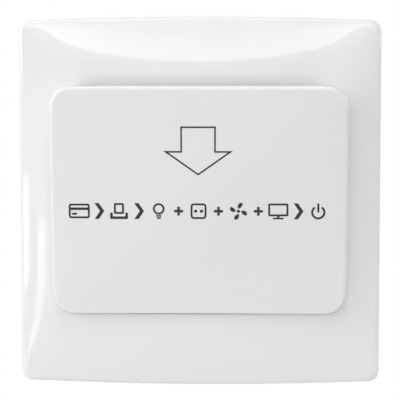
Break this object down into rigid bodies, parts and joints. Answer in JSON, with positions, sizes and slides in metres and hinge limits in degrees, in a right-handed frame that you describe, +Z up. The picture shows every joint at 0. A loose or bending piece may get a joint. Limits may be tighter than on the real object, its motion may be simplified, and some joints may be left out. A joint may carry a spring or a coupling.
{
  "type": "hotel key card switch",
  "caption": "Hotel key card switch: crowned square wall plate with a sloping card pocket; the card tips a lever that works a snap switch, with a timer relay and terminals behind.",
  "frame": {"origin": "midway between the two fixing holes, on the wall's surface", "axes": "+Z up, +X to the right seen from the front, +Y into the wall, so the plate's front faces -Y"},
  "size_m": [0.086, 0.0459, 0.0882],
  "materials": {
    "white_gloss": "glossy white moulding",
    "frame_plastic": "matt light grey moulding",
    "housing_plastic": "matt white moulding",
    "zinc_steel": "bright zinc",
    "board_green": "green solder mask",
    "relay_blue": "moulded case",
    "film_yellow": "moulded box",
    "can_blue": "shrink sleeve",
    "epoxy_black": "moulded epoxy",
    "disc_blue": "dipped coating",
    "resistor_tan": "lacquer",
    "fuse_brown": "moulded cap",
    "terminal_grey": "moulded block",
    "brass": "plain",
    "switch_black": "moulded case",
    "plunger_red": "moulded",
    "lever_white": "natural acetal",
    "spring_steel": "drawn wire"
  },
  "bodies": {
    "base": {"mounting_frame": "frame_plastic", "rear_housing": "housing_plastic", "housing_screws": "zinc_steel", "circuit_board": "board_green", "board_screws": "zinc_steel", "power_relay": "relay_blue", "supply_capacitor": "film_yellow", "smoothing_capacitor": "can_blue", "bridge_rectifier": "epoxy_black", "varistor": "disc_blue", "dropper_resistor": "resistor_tan", "timer_chip": "epoxy_black", "fuse": "fuse_brown", "terminal_block": "terminal_grey", "terminal_clamps": "brass", "terminal_screws": "zinc_steel", "microswitch_case": "switch_black", "microswitch_lid": "switch_black", "switch_contacts": "brass", "lever_spring": "spring_steel", "pivot_pin": "spring_steel"},
    "cover": {"front_plate": "white_gloss", "pocket_panel": "white_gloss", "panel_screws": "zinc_steel"},
    "lever": {"card_lever": "lever_white"},
    "plunger": {"switch_plunger": "plunger_red"},
    "blade": {"contact_blade": "brass"}
  },
  "joints": [
    {"name": "cover_pull", "type": "slide", "parent": "base", "child": "cover", "axis": [0, -1, 0], "range_m": [0, 0.036]},
    {"name": "card_lever_pivot", "type": "hinge", "parent": "base", "child": "lever", "pos_m": [0, 0.005, -0.01825], "axis": [1, 0, 0], "range_deg": [0, 14], "stiffness_Nm_per_rad": 0.005, "springref_deg": -14.32, "deforming": ["lever_spring"]},
    {"name": "plunger_push", "type": "slide", "parent": "base", "child": "plunger", "axis": [0, 0, 1], "range_m": [0, 0.00069]},
    {"name": "blade_swing", "type": "hinge", "parent": "base", "child": "blade", "pos_m": [0.0048, 0.0078, -0.0098], "axis": [0, 1, 0], "range_deg": [0, 3.75]}
  ],
  "couplings": [
    {"joint": "plunger_push", "follows": "card_lever_pivot", "m_per_rad": 0.0028044},
    {"joint": "blade_swing", "follows": "card_lever_pivot", "ratio": 0.26709}
  ]
}
